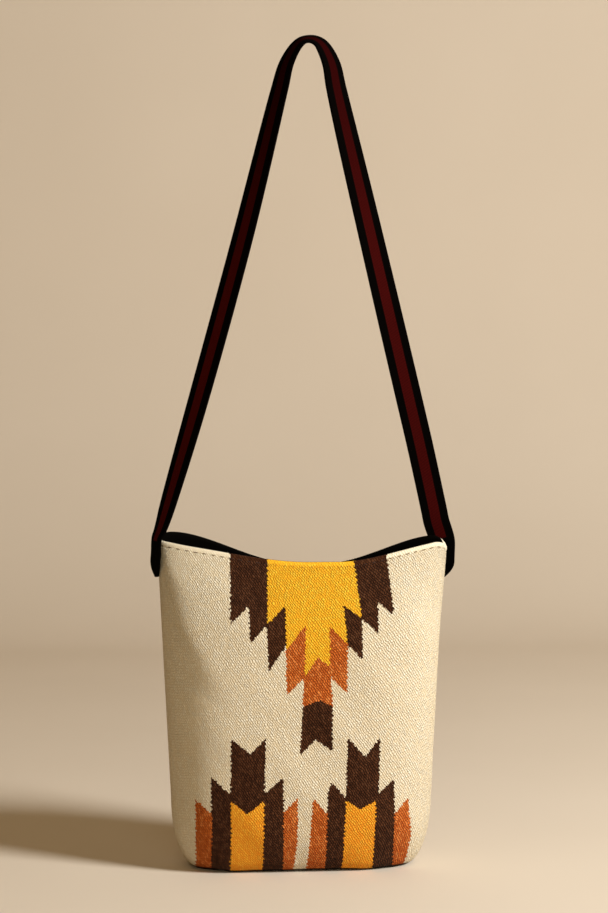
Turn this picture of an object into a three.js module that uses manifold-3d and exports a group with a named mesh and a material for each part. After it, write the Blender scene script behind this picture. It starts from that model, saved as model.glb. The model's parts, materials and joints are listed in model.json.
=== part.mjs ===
import * as THREE from 'three';
import { mergeVertices } from 'three/addons/utils/BufferGeometryUtils.js';
import loadManifold from 'manifold-3d';

// A soft handwoven wool shoulder bag with a webbing strap, standing on its base.
// Millimetres, +Z up, front towards -Y, origin in the middle of the base.

const wasm = await loadManifold();
wasm.setup();

// Driving sizes of the body
const rimHeight = 307;
const rimDip = 15.6;
const rimHalfWidth = 137;
const rimFlatLeft = 2;
const rimFlatRight = 25;
const backFlatLeft = 10;
const backFlatRight = 20;
const backLiftLeft = 14;
const backLiftRight = 8;
const backTuck = 5.5;
const rimCornerWidth = 14;
const rimCornerDropLeft = 3;
const rimCornerDropRight = 10;
const rimCornerDropBack = 2;
const rimFlareRight = 3;
const rimFlareDepth = 95;
const hipHalfWidth = 124.5;
const cornerWidth = 24;
const cornerHeight = 65;
const bellyHalfDepth = 62;
const lowerRoundHeight = 80;
const lowerRounding = 2.6;
const closingDepth = 95;
const closingPastRim = 27;
const mouthHalfDepth = 12;
const footHalfDepth = 39;
const footRoundDepth = 9;
const footRoundHeight = 10;
const footSquareness = 5;
const bellySquareness = 3.5;
const mouthSquareness = 5;

// Cloth, board and the clearance between pieces that touch
const woolThickness = 3;
const liningThickness = 1;
const boardThickness = 2;
const gap = 0.3;

// Woven colour fields, let into the face of the front panel
const fieldThickness = 0.9;
const fieldFoot = 2;

// Snap that can close the middle of the mouth, left open
const snapX = 8;
const snapDrop = 13;
const snapRadius = 8;
const snapThickness = 2.25;
const snapNubRadius = 3;
const snapNubLength = 1.2;
const snapPostRadius = 2.5;
const washerRadius = 7;
const washerThickness = 0.5;

// Webbing strap
const strapWidth = 25;
const strapThickness = 2.2;
const stripeWidth = 8;
const stripeThickness = 0.6;
const strapRise = 476.5;
const strapTopX = 6.5;
const strapTaperLength = 18;
const strapClearance = 0.6;
const stripeEndRise = 3;
const strapSettle = 110;

// Grid steps of the body, the snap and the strap
const columnsPerSide = 20;
const rows = 15;
const rowCrowding = 0.25;
const turnedSides = 24;
const spanSteps = 2;

const colours = {
  cream: 0xe6d5ae,
  brown: 0x3a2218,
  yellow: 0xe8a41e,
  rust: 0xb8541f,
  black: 0x100e0e,
  red: 0x4a1215,
  metal: 0xb9b4a8,
  board: 0x2c2a28,
};

// Small number helpers
const smooth = (value) => THREE.MathUtils.smoothstep(value, 0, 1);
const lerp = THREE.MathUtils.lerp;
const clamp = THREE.MathUtils.clamp;
const quarterEllipse = (share) => Math.sqrt(1 - clamp(1 - share, 0, 1) ** 2);

// Half width of the body at a height: round lower corners, then sides that open towards the mouth
function halfWidth(z) {
  const side = lerp(hipHalfWidth, rimHalfWidth, Math.max(0, z - cornerHeight) / (rimHeight - cornerHeight));
  return side - cornerWidth * (1 - quarterEllipse(z / cornerHeight));
}

// The right side flares a little more towards the rim
const flareRight = (z) => rimFlareRight * smooth((z - rimHeight + rimFlareDepth) / rimFlareDepth);

// How far the body has closed towards the mouth at a height, still leaning where the rim cuts it off
const closingStart = rimHeight - closingDepth;
const closing = (z) => smooth((z - closingStart) / (closingDepth + closingPastRim));

// A size that changes from the belly down to the foot and up to the mouth
function alongHeight(z, foot, belly, mouth) {
  const low = Math.max(0, 1 - z / lowerRoundHeight) ** lowerRounding;
  return lerp(lerp(belly, foot, low), mouth, closing(z));
}

// Half depth of the body at a height: rounded lower edge, full belly, narrow mouth
function halfDepth(z) {
  const wall = alongHeight(z, footHalfDepth, bellyHalfDepth, mouthHalfDepth);
  return wall - footRoundDepth * (1 - quarterEllipse(z / footRoundHeight));
}

// How square the plan is at a height: 2 would be an ellipse
const squareness = (z) => alongHeight(z, footSquareness, bellySquareness, mouthSquareness);

// Height of the mouth's edge: lowest at the snap, highest near its rounded corners, higher at the back there
function rimLine(x, flat, corner, low) {
  const reach = x < snapX ? rimHalfWidth + snapX : rimHalfWidth - snapX;
  return lerp(low, corner, smooth((Math.abs(x - snapX) - flat) / (reach - flat)));
}

function rimAt(x, towardsBack) {
  const low = rimHeight - rimDip;
  const lift = x < snapX ? backLiftLeft : backLiftRight;
  const front = rimLine(x, x < snapX ? rimFlatLeft : rimFlatRight, rimHeight, low);
  const back = rimLine(x, x < snapX ? backFlatLeft : backFlatRight, rimHeight + lift, low - backTuck);
  const corner = clamp((Math.abs(x) - rimHalfWidth + rimCornerWidth) / rimCornerWidth, 0, 1);
  const frontDrop = x < snapX ? rimCornerDropLeft : rimCornerDropRight;
  const drop = lerp(frontDrop, rimCornerDropBack, towardsBack);
  return lerp(front, back, towardsBack) - drop * (1 - Math.sqrt(1 - corner ** 2));
}

// Plan of the body, from 1 in front to -1 behind
function planFacing(angle, z) {
  const facing = Math.sqrt(Math.max(0, 1 - Math.abs(Math.sin(angle)) ** squareness(z)));
  return Math.cos(angle) < 0 ? -facing : facing;
}

// Share of the height at a level of the grid, whose rows crowd towards the foot, and the level of a share
const heightShare = (level) => (level * level * (1 + rowCrowding)) / (level + rowCrowding);

function levelAt(share) {
  const spread = 1 + rowCrowding;
  return (share + Math.sqrt(share * share + 4 * spread * rowCrowding * share)) / (2 * spread);
}

// A point of the outer skin. Angle 0 is the middle of the front, a quarter turn is the right-hand seam.
function sectionPoint(angle, z) {
  const across = Math.sin(angle);
  const x = halfWidth(z) * across + flareRight(z) * Math.max(0, across) ** 2;
  return new THREE.Vector3(x, -halfDepth(z) * planFacing(angle, z), z);
}

function rimOver(angle) {
  const towardsBack = (1 - planFacing(angle, rimHeight)) / 2;
  return rimAt(rimHalfWidth * Math.sin(angle), towardsBack);
}

const skinPoint = (angle, level) => sectionPoint(angle, rimOver(angle) * heightShare(level));

// The same point, moved into the bag along the skin's normal
function insetPoint(angle, level, inset) {
  const step = 1e-4;
  const along = skinPoint(angle + step, level).sub(skinPoint(angle - step, level));
  const upward = skinPoint(angle, level + step).sub(skinPoint(angle, Math.max(0, level - step)));
  const normal = along.cross(upward).normalize();
  return skinPoint(angle, level).addScaledVector(normal, -inset);
}

const levels = Array.from({ length: rows + 1 }, (_, row) => row / rows);
const levelsPastRim = [...levels, 1 + 0.5 / rows];

// Rows of points over part of the way round the body
function skinGrid(startAngle, turn, columns, inset) {
  const angles = Array.from({ length: columns }, (_, i) => startAngle + i * (turn / columns));
  return levels.map((level) => angles.map((angle) => insetPoint(angle, level, inset)));
}

function sideGrid(middleAngle, inset, rowLevels = levels) {
  const angles = Array.from({ length: columnsPerSide + 1 }, (_, i) => (i / columnsPerSide - 0.5) * Math.PI);
  return rowLevels.map((level) => angles.map((angle) => insetPoint(middleAngle + angle, level, inset)));
}

function meshGeometry(points, triangles) {
  const geometry = new THREE.BufferGeometry();
  geometry.setAttribute('position', new THREE.Float32BufferAttribute(points.flatMap((p) => p.toArray()), 3));
  geometry.setIndex(triangles);
  return geometry;
}

// A closed sheet between two grids of points, with its four edges walled
function sheetBetween(outer, inner) {
  const columns = outer[0].length;
  const lastRow = outer.length - 1;
  const lastColumn = columns - 1;
  const inside = outer.length * columns;
  const at = (row, column) => row * columns + column;
  const triangles = [];
  const quad = (a, b, c, d) => triangles.push(a, b, c, a, c, d);
  for (let row = 0; row < lastRow; row += 1) {
    for (let column = 0; column < lastColumn; column += 1) {
      const [a, b] = [at(row, column), at(row, column + 1)];
      const [c, d] = [at(row + 1, column + 1), at(row + 1, column)];
      quad(a, b, c, d);
      quad(a + inside, d + inside, c + inside, b + inside);
    }
  }
  const border = [
    ...Array.from({ length: lastColumn }, (_, i) => at(0, i)),
    ...Array.from({ length: lastRow }, (_, i) => at(i, lastColumn)),
    ...Array.from({ length: lastColumn }, (_, i) => at(lastRow, lastColumn - i)),
    ...Array.from({ length: lastRow }, (_, i) => at(lastRow - i, 0)),
  ];
  border.forEach((here, i) => {
    const next = border[(i + 1) % border.length];
    quad(next, here, here + inside, next + inside);
  });
  return meshGeometry([...outer.flat(), ...inner.flat()], triangles);
}

// A closed bucket between two grids that run all the way round, with a floor and an open mouth
function bucketBetween(outer, inner) {
  const columns = outer[0].length;
  const lastRow = outer.length - 1;
  const inside = outer.length * columns;
  const at = (row, column) => row * columns + (column % columns);
  const floorCentre = (grid) => new THREE.Vector3(0, 0, grid[0][0].z);
  const underFloor = 2 * inside;
  const onFloor = underFloor + 1;
  const triangles = [];
  const quad = (a, b, c, d) => triangles.push(a, b, c, a, c, d);
  for (let column = 0; column < columns; column += 1) {
    for (let row = 0; row < lastRow; row += 1) {
      const [a, b] = [at(row, column), at(row, column + 1)];
      const [c, d] = [at(row + 1, column + 1), at(row + 1, column)];
      quad(a, b, c, d);
      quad(a + inside, d + inside, c + inside, b + inside);
    }
    const here = at(lastRow, column);
    const next = at(lastRow, column + 1);
    quad(here, next, next + inside, here + inside);
    triangles.push(underFloor, at(0, column + 1), at(0, column));
    triangles.push(onFloor, at(0, column) + inside, at(0, column + 1) + inside);
  }
  const centres = [floorCentre(outer), floorCentre(inner)];
  return meshGeometry([...outer.flat(), ...inner.flat(), ...centres], triangles);
}

// Solids that can be cut and joined, and back again
function solidOf(geometry) {
  const bare = new THREE.BufferGeometry();
  bare.setAttribute('position', geometry.getAttribute('position'));
  bare.setIndex(geometry.getIndex());
  const welded = mergeVertices(bare);
  const vertProperties = Float32Array.from(welded.getAttribute('position').array);
  const triVerts = Uint32Array.from(welded.getIndex().array);
  return new wasm.Manifold(new wasm.Mesh({ numProp: 3, vertProperties, triVerts }));
}

function geometryOf(solid) {
  const { vertProperties, triVerts } = solid.getMesh();
  const geometry = new THREE.BufferGeometry();
  geometry.setAttribute('position', new THREE.Float32BufferAttribute(vertProperties, 3));
  geometry.setIndex(Array.from(triVerts));
  return geometry;
}

// A woven field is drawn as corners [x from the middle, height], and carried down the front by a prism
function outlinePrism(corners, growth) {
  const ordered = corners.map(([x, z]) => new THREE.Vector2(x, z));
  if (THREE.ShapeUtils.isClockWise(ordered)) {
    ordered.reverse();
  }
  const outward = (from, to) => new THREE.Vector2(to.y - from.y, from.x - to.x).normalize();
  const grown = ordered.map((corner, i) => {
    const before = outward(ordered.at(i - 1), corner);
    const after = outward(corner, ordered[(i + 1) % ordered.length]);
    const middle = before.clone().add(after).normalize();
    return corner.clone().addScaledVector(middle, growth / middle.dot(before));
  });
  const depth = bellyHalfDepth + woolThickness;
  const prism = new THREE.ExtrudeGeometry(new THREE.Shape(grown), { depth, bevelEnabled: false });
  return solidOf(prism.rotateX(Math.PI / 2));
}

// Corners of the motif that hangs from the rim: [x, drop below the side rim]. It runs up past the rim's edge.
const past = -4;
const rimFields = {
  top_brown_left: ['brown', [
    [-68.5, past], [-70, 70], [-53, 54.5], [-52, 87], [-36.5, 70.5], [-33.5, past],
  ]],
  top_brown_left_inner: ['brown', [[-36.5, 70.5], [-35.5, 113.5], [-19.5, 89.5], [-19.5, 54.5]]],
  top_rust_left: ['rust', [[-19, 93.5], [-18.5, 135.5], [-2.5, 119.5], [-1, 71.5]]],
  top_yellow: ['yellow', [
    [-33.5, past], [-36.5, 70.5], [-19.5, 54.5], [-19, 93.5], [-1, 71.5], [-2.5, 119.5], [10, 101], [21, 110],
    [21.5, 73], [37.5, 88.5], [35, 54.5], [51.5, 66], [46, past],
  ]],
  top_rust_right: ['rust', [[21.5, 73], [21, 110], [23, 120.5], [37, 134], [37.5, 88.5]]],
  top_brown_right_inner: ['brown', [[35, 54.5], [37.5, 88.5], [51.5, 103.5], [51.5, 66]]],
  top_brown_right: ['brown', [
    [46, past], [51.5, 66], [67, 80], [67.5, 51], [80.5, 63], [82, 57], [77.5, past],
  ]],
  top_rust_middle: ['rust', [
    [10, 101], [-2.5, 119.5], [-3.5, 147], [12, 141], [23.5, 147], [21, 110],
  ]],
  top_brown_tail: ['brown', [
    [-3.5, 147], [-6, 192], [8, 177.5], [23.5, 188.5], [23.5, 147], [12, 141],
  ]],
};

// Corners of the two motifs that stand on the base: [x, height above the base]
const baseFields = {
  left_brown_arrow: ['brown', [
    [-69.5, 129.5], [-70.5, 72.5], [-55.5, 60], [-40, 72.5], [-38.5, 130.5], [-52.5, 116],
  ]],
  left_brown_outer: ['brown', [[-88, 93], [-88, fieldFoot], [-70, fieldFoot], [-70.5, 77.5]]],
  left_yellow: ['yellow', [[-70.5, 72.5], [-70, fieldFoot], [-40, fieldFoot], [-40, 72.5], [-55.5, 60]]],
  left_brown_inner: ['brown', [[-22.5, 93.5], [-40, 78], [-40, fieldFoot], [-21, fieldFoot]]],
  left_rust_outer: ['rust', [[-102.5, 71], [-101.5, fieldFoot], [-88, fieldFoot], [-88, 58.5]]],
  left_rust_inner: ['rust', [[-9, 75], [-22, 60], [-21, fieldFoot], [-11.5, fieldFoot], [-9, 32]]],
  right_rust_inner: ['rust', [[6, 74], [1.5, fieldFoot], [18.5, fieldFoot], [19, 59]]],
  right_brown_inner: ['brown', [[23, 89], [19.5, 78], [18.5, fieldFoot], [34.5, fieldFoot], [36.5, 73.5]]],
  right_yellow: ['yellow', [[36.5, 71.5], [34.5, fieldFoot], [63.5, fieldFoot], [64.5, 70.5], [49.5, 63]]],
  right_brown_arrow: ['brown', [
    [38.5, 129.5], [36.5, 71.5], [49.5, 63], [64.5, 70.5], [67, 76.5], [68.5, 129], [54.5, 112],
  ]],
  right_brown_outer: ['brown', [
    [82, 89], [67, 76.5], [64.5, 70.5], [63.5, fieldFoot], [83.5, fieldFoot], [82.5, 73.5],
  ]],
  right_rust_outer: ['rust', [[96, 70], [83, 56.5], [83.5, fieldFoot], [95, fieldFoot], [99.5, 34.5]]],
};

const heightsFromRim = ([colour, corners]) => [colour, corners.map(([x, drop]) => [x, rimHeight - drop])];
const fields = [
  ...Object.entries(rimFields).map(([name, field]) => [name, ...heightsFromRim(field)]),
  ...Object.entries(baseFields).map(([name, field]) => [name, ...field]),
];

// Each half of the snap sits square to the cloth: its own Y axis runs from the outer skin into the bag
const snapZ = rimHeight - rimDip - snapDrop;

function snapSeat(facing) {
  const side = Math.asin(snapX / halfWidth(snapZ));
  const angle = facing > 0 ? side : Math.PI - side;
  const level = levelAt(snapZ / rimOver(angle));
  const place = skinPoint(angle, level);
  const inward = insetPoint(angle, level, 1).sub(place).normalize();
  const turn = new THREE.Quaternion().setFromUnitVectors(new THREE.Vector3(0, 1, 0), inward);
  return new THREE.Matrix4().makeRotationFromQuaternion(turn).setPosition(place);
}

const snapSeats = { front: snapSeat(1), back: snapSeat(-1) };
const postEnd = woolThickness - washerThickness;
const snapBack = woolThickness + liningThickness + 2 * gap;
const snapFace = snapBack + snapThickness;

function cylinderAt(seat, radius, from, to) {
  const geometry = new THREE.CylinderGeometry(radius, radius, to - from, turnedSides);
  return solidOf(geometry.translate(0, (from + to) / 2, 0).applyMatrix4(seat));
}

// Front and back panels stand half a gap off the side seams, with a recess for the snap's washer
function panelSolid(middleAngle, seat) {
  const sheet = solidOf(sheetBetween(sideGrid(middleAngle, 0), sideGrid(middleAngle, woolThickness)));
  return sheet.subtract(cylinderAt(seat, washerRadius + gap, postEnd - gap, snapBack));
}

function frontPanel() {
  const grid = (inset) => sideGrid(0, inset, levelsPastRim);
  const skin = solidOf(sheetBetween(grid(-woolThickness), grid(fieldThickness + gap)));
  const pocket = (panel, [, , corners]) => panel.subtract(outlinePrism(corners, gap / 2).intersect(skin));
  return geometryOf(fields.reduce(pocket, panelSolid(0, snapSeats.front)));
}

function fieldGeometries() {
  const skin = solidOf(sheetBetween(sideGrid(0, 0), sideGrid(0, fieldThickness)));
  const cut = (corners) => geometryOf(outlinePrism(corners, -gap / 2).intersect(skin));
  return fields.map(([name, colour, corners]) => [name, colour, cut(corners)]);
}

// Flat plates in the base, from the foot's own outline
function basePlate(clearance, fromZ, thickness) {
  const outline = Array.from({ length: 2 * columnsPerSide }, (_, i) => {
    const angle = (i / columnsPerSide) * Math.PI;
    const x = (halfWidth(0) - clearance) * Math.sin(angle);
    return new THREE.Vector2(x, (clearance - halfDepth(0)) * planFacing(angle, 0));
  });
  const settings = { depth: thickness, bevelEnabled: false };
  return new THREE.ExtrudeGeometry(new THREE.Shape(outline), settings).translate(0, 0, fromZ);
}

const boardZ = woolThickness + gap;
const liningZ = boardZ + boardThickness + gap;

// The lining lies inside the wool and over the base board, with holes for the snap's posts
function liningGeometry() {
  const layer = (inset, floor) => {
    const grid = skinGrid(-Math.PI / 2, 2 * Math.PI, 2 * columnsPerSide, inset);
    grid.flat().forEach((point) => point.setZ(Math.max(point.z, floor)));
    return grid;
  };
  const outer = layer(woolThickness + gap, liningZ);
  const inner = layer(woolThickness + gap + liningThickness, liningZ + liningThickness);
  const hole = (seat) => cylinderAt(seat, snapPostRadius + gap, postEnd, snapFace);
  const bucket = solidOf(bucketBetween(outer, inner));
  return geometryOf(bucket.subtract(hole(snapSeats.front)).subtract(hole(snapSeats.back)));
}

// Snap: pieces turned about the seat's axis, profiles as [radius, distance in from the outer skin]
function turned(seat, profile) {
  const geometry = new THREE.LatheGeometry(profile.map(([r, y]) => new THREE.Vector2(r, y)), turnedSides);
  return geometryOf(solidOf(geometry.applyMatrix4(seat)));
}

const snapCap = [
  [0, postEnd], [snapPostRadius, postEnd], [snapPostRadius, snapBack],
  [snapRadius, snapBack], [snapRadius, snapFace],
];

function studGeometry() {
  const nubEnd = snapFace + snapNubLength;
  const nub = [[snapNubRadius, snapFace], [snapNubRadius, nubEnd], [0, nubEnd]];
  return turned(snapSeats.front, [...snapCap, ...nub]);
}

function socketGeometry() {
  const hole = snapNubRadius + gap;
  const bottom = snapFace - snapNubLength - gap;
  return turned(snapSeats.back, [...snapCap, [hole, snapFace], [hole, bottom], [0, bottom]]);
}

function washerGeometry(seat) {
  const hole = snapPostRadius + gap;
  return turned(seat, [
    [hole, postEnd], [washerRadius, postEnd],
    [washerRadius, woolThickness], [hole, woolThickness], [hole, postEnd],
  ]);
}

// The strap's route up the left side, over the top and down the right, as [x, z, turn in degrees].
// Turn 0 lays the webbing's face outwards, 90 turns it to the front.
const strapTopZ = rimHeight + strapRise;
const legFootX = 128.4;
const legBow = { left: 3.2, right: 0 };
const legFootRise = 32;
const shoulderX = 27;
const shoulderDrop = 47;
const legTurns = {
  left: [[0, 30], [0.25, 45], [0.65, 47], [1, 34]],
  right: [[0, 96], [0.25, 93], [0.65, 76], [1, 54]],
};
const crown = {
  left: [[20.5, 23, 28], [11.5, 6.8, 22], [5.5, 1.4, 20]],
  right: [[20.5, 23, 45], [11.5, 6.8, 35], [5.5, 1.4, 26]],
};
const crownTurn = 21;

// Each end runs down past the rim, as [distance out from the rim's side, rise above the rim, turn].
// The left one lies against the front of the side seam, the right one behind it.
const strapEnds = {
  left: {
    towards: 1,
    taperDrop: 15,
    places: [[0.5, -31, 17], [1.8, -20, 17], [1.2, -8, 17], [0.6, 5, 17], [-2.2, 12, 21], [-5, 20, 25]],
  },
  right: {
    towards: -1,
    taperDrop: 21,
    places: [[-1.5, -37, 105], [-2, -26, 105], [-2.5, -12, 105], [-3, 0, 105], [-5, 8, 103], [-8.7, 19, 100]],
  },
};
const strapSides = {
  left: { sign: -1, sideX: rimHalfWidth },
  right: { sign: 1, sideX: rimHalfWidth + rimFlareRight },
};

function legRoute(side) {
  const { sign, sideX } = strapSides[side];
  const { places } = strapEnds[side];
  const end = places.map(([out, rise, turn]) => [sign * (sideX + out), rimHeight + rise, turn]);
  const leg = legTurns[side].map(([share, turn]) => {
    const straight = lerp(sign * legFootX, strapTopX + sign * shoulderX, share);
    const x = straight - sign * legBow[side] * Math.sin(Math.PI * share);
    return [x, lerp(rimHeight + legFootRise, strapTopZ - shoulderDrop, share), turn];
  });
  const top = crown[side].map(([out, drop, turn]) => [strapTopX + sign * out, strapTopZ - drop, turn]);
  return [...end, ...leg, ...top];
}

// How far back an end lies at a height so that its face just clears the body
function endBack(side, z) {
  const { sign, sideX } = strapSides[side];
  const { towards, places } = strapEnds[side];
  const radians = THREE.MathUtils.degToRad(places[0][2]);
  const nearest = Math.min(...places.filter(([, rise]) => rise <= 0).map(([out]) => out));
  const away = new THREE.Vector3(sign * Math.cos(radians), -Math.sin(radians), 0).multiplyScalar(towards);
  const around = Array.from({ length: 4 * columnsPerSide }, (_, i) => (i / columnsPerSide) * (Math.PI / 2));
  const reach = Math.max(...around.map((angle) => sectionPoint(angle, z).dot(away)));
  const x = sign * (sideX + nearest);
  return (reach + strapClearance + strapThickness / 2 - away.x * x) / away.y;
}

// The ends are rounded towards the tip
function strapReach(side, z) {
  const share = Math.max(0, rimHeight - strapEnds[side].taperDrop - z) / strapTaperLength;
  return 1 - share ** 2;
}

// Stations along the strap: middle point, face normal, direction across the width and reach
function strapStations() {
  const free = [...legRoute('left'), [strapTopX, strapTopZ, crownTurn], ...legRoute('right').reverse()];
  const curve = new THREE.CatmullRomCurve3(free.map(([x, z, turn]) => new THREE.Vector3(x, turn, z)));
  const route = curve.getPoints((free.length - 1) * spanSteps).map((p) => [p.x, p.z, p.y]);
  return route.map(([x, z, turn], i) => {
    const before = route[Math.max(0, i - 1)];
    const after = route[Math.min(route.length - 1, i + 1)];
    const along = new THREE.Vector3(after[0] - before[0], 0, after[1] - before[1]).normalize();
    const outward = new THREE.Vector3(-along.z, 0, along.x);
    const radians = THREE.MathUtils.degToRad(turn);
    const normal = outward.multiplyScalar(Math.cos(radians)).add(new THREE.Vector3(0, -Math.sin(radians), 0));
    const settled = smooth((z - rimHeight) / strapSettle);
    const side = x < strapTopX ? 'left' : 'right';
    const y = lerp(endBack(side, Math.min(z, rimHeight)), 0, settled);
    const middle = new THREE.Vector3(x, y, z);
    return { middle, normal, across: along.cross(normal), reach: strapReach(side, z) };
  });
}

// Sweep a closed section, as [across, out], along the stations.
// Surfaces that face each other are split along the same diagonals.
function sweep(section, stations) {
  const count = section.length;
  const points = stations.flatMap(({ middle, normal, across, reach }) => section.map(([s, n]) => (
    middle.clone().addScaledVector(across, s * reach).addScaledVector(normal, n)
  )));
  const triangles = [];
  for (let station = 0; station < stations.length - 1; station += 1) {
    for (let i = 0; i < count; i += 1) {
      const after = (i + 1) % count;
      const here = station * count + i;
      const next = station * count + after;
      if (section[i][0] < section[after][0]) {
        triangles.push(here, next + count, next, here, here + count, next + count);
      } else {
        triangles.push(here, here + count, next, here + count, next + count, next);
      }
    }
  }
  const end = (stations.length - 1) * count;
  const flat = section.map(([s, n]) => new THREE.Vector2(s, n));
  THREE.ShapeUtils.triangulateShape(flat, []).forEach(([a, b, c]) => {
    triangles.push(a, b, c, end + c, end + b, end + a);
  });
  return meshGeometry(points, triangles);
}

const halfStrap = strapWidth / 2;
const halfStripe = stripeWidth / 2;
const face = strapThickness / 2;
const groove = face - stripeThickness - gap;
const stations = strapStations();

const strapGeometry = () => sweep([
  [-halfStrap, -face], [-halfStripe - gap, -face], [-halfStripe - gap, -groove],
  [halfStripe + gap, -groove], [halfStripe + gap, -face], [halfStrap, -face],
  [halfStrap, face], [halfStripe + gap, face], [halfStripe + gap, groove],
  [-halfStripe - gap, groove], [-halfStripe - gap, face], [-halfStrap, face],
], stations);

// The stripes stop where the strap meets the bag
function stripeGeometry(from) {
  const to = from + stripeThickness;
  const above = stations.filter(({ middle }) => middle.z > rimHeight + stripeEndRise);
  return sweep([[-halfStripe, from], [halfStripe, from], [halfStripe, to], [-halfStripe, to]], above);
}

// Scene graph
const bag = new THREE.Group();

function addPiece(parent, name, geometry, color, roughness, metalness = 0) {
  const mesh = new THREE.Mesh(geometry, new THREE.MeshStandardMaterial({ color, roughness, metalness }));
  mesh.name = name;
  parent.add(mesh);
}

const front = new THREE.Group();
front.position.y = -gap / 2;
const back = new THREE.Group();
back.position.y = gap / 2;
bag.add(front, back);

addPiece(front, 'front_panel', frontPanel(), colours.cream, 0.95);
fieldGeometries().forEach(([name, colour, geometry]) => {
  addPiece(front, `field_${name}`, geometry, colours[colour], 0.95);
});
addPiece(back, 'back_panel', geometryOf(panelSolid(Math.PI, snapSeats.back)), colours.cream, 0.95);
addPiece(bag, 'base_panel', basePlate(gap, 0, woolThickness), colours.cream, 0.95);
addPiece(bag, 'base_board', basePlate(gap, boardZ, boardThickness), colours.board, 0.9);
addPiece(bag, 'lining', liningGeometry(), colours.black, 0.8);
addPiece(bag, 'snap_stud', studGeometry(), colours.metal, 0.35, 1);
addPiece(bag, 'snap_socket', socketGeometry(), colours.metal, 0.35, 1);
addPiece(bag, 'snap_washer_front', washerGeometry(snapSeats.front), colours.metal, 0.35, 1);
addPiece(bag, 'snap_washer_back', washerGeometry(snapSeats.back), colours.metal, 0.35, 1);
addPiece(bag, 'strap', strapGeometry(), colours.black, 0.85);
addPiece(bag, 'strap_stripe_outer', stripeGeometry(face - stripeThickness), colours.red, 0.85);
addPiece(bag, 'strap_stripe_inner', stripeGeometry(-face), colours.red, 0.85);

export default bag;
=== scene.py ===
"""A handwoven wool shoulder bag with a webbing strap, on a pale studio floor."""
import json
import math

import bpy
import numpy as np
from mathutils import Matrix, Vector
from mathutils.bvhtree import BVHTree


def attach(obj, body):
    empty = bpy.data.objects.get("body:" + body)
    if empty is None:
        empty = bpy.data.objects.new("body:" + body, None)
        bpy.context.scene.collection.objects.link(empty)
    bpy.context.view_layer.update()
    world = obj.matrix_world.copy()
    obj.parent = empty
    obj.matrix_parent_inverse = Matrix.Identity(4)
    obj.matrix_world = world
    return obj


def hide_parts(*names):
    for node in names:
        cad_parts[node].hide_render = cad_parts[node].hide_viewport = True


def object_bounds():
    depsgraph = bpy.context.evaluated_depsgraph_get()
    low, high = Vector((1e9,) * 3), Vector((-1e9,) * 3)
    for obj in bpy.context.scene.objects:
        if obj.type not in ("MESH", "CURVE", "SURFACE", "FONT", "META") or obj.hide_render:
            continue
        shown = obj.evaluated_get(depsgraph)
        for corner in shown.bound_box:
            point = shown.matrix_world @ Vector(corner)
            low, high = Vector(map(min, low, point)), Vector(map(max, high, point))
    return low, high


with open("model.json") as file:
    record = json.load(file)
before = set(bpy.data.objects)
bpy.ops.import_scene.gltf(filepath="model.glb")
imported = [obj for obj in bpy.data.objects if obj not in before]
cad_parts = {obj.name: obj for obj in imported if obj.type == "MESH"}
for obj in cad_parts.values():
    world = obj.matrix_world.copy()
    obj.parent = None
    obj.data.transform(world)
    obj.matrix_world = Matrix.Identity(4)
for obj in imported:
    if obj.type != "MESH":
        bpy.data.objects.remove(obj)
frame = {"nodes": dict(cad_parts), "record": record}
cad_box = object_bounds()
rng = np.random.default_rng(11)

# Shapes are worked out in millimetres, and meshes are made in metres
MM = 0.001
PHOTO_HEIGHT = 913

# Driving sizes of the body, the same as the solids have
RIM_HEIGHT = 307
RIM_DIP = 15.6
RIM_HALF_WIDTH = 137
RIM_FLAT_LEFT = 2
RIM_FLAT_RIGHT = 25
BACK_FLAT_LEFT = 10
BACK_FLAT_RIGHT = 20
BACK_LIFT_LEFT = 14
BACK_LIFT_RIGHT = 8
BACK_TUCK = 5.5
RIM_CORNER_WIDTH = 14
RIM_CORNER_DROP_LEFT = 3
RIM_CORNER_DROP_RIGHT = 10
RIM_CORNER_DROP_BACK = 2
RIM_FLARE_RIGHT = 3
RIM_FLARE_DEPTH = 95
HIP_HALF_WIDTH = 124.5
CORNER_WIDTH = 24
CORNER_HEIGHT = 65
BELLY_HALF_DEPTH = 62
LOWER_ROUND_HEIGHT = 80
LOWER_ROUNDING = 2.6
CLOSING_DEPTH = 95
CLOSING_PAST_RIM = 27
MOUTH_HALF_DEPTH = 12
FOOT_HALF_DEPTH = 39
FOOT_ROUND_DEPTH = 9
FOOT_ROUND_HEIGHT = 10
FOOT_SQUARENESS = 5
BELLY_SQUARENESS = 3.5
MOUTH_SQUARENESS = 5
WOOL_THICKNESS = 3
LINING_THICKNESS = 1
BOARD_THICKNESS = 2
GAP = 0.3
SNAP_X = 8
CLOSING_START = RIM_HEIGHT - CLOSING_DEPTH
LINING_FLOOR = WOOL_THICKNESS + BOARD_THICKNESS + 2 * GAP

# The back cloth hangs a little lower than its solid at the right-hand corner of the mouth
RIM_CORNER_SAG_RIGHT = 6

# Cloth: size of one cell of the mesh, soft waves that die out at the rim and seams, teeth between the colours
CELL_WIDTH = 0.95
CELL_HEIGHT = 1.25
CELLS_PER_INNER = 8
YARN_SCATTER = 0.05
WAVE_RIM_FADE = 40
WAVE_SEAM_FADE = 30
TOOTH_PITCH = 4.4
TOOTH_DEPTH = 0.65
TOOTH_SCATTER = 0.25
DENSE_STEPS = 4001

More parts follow.
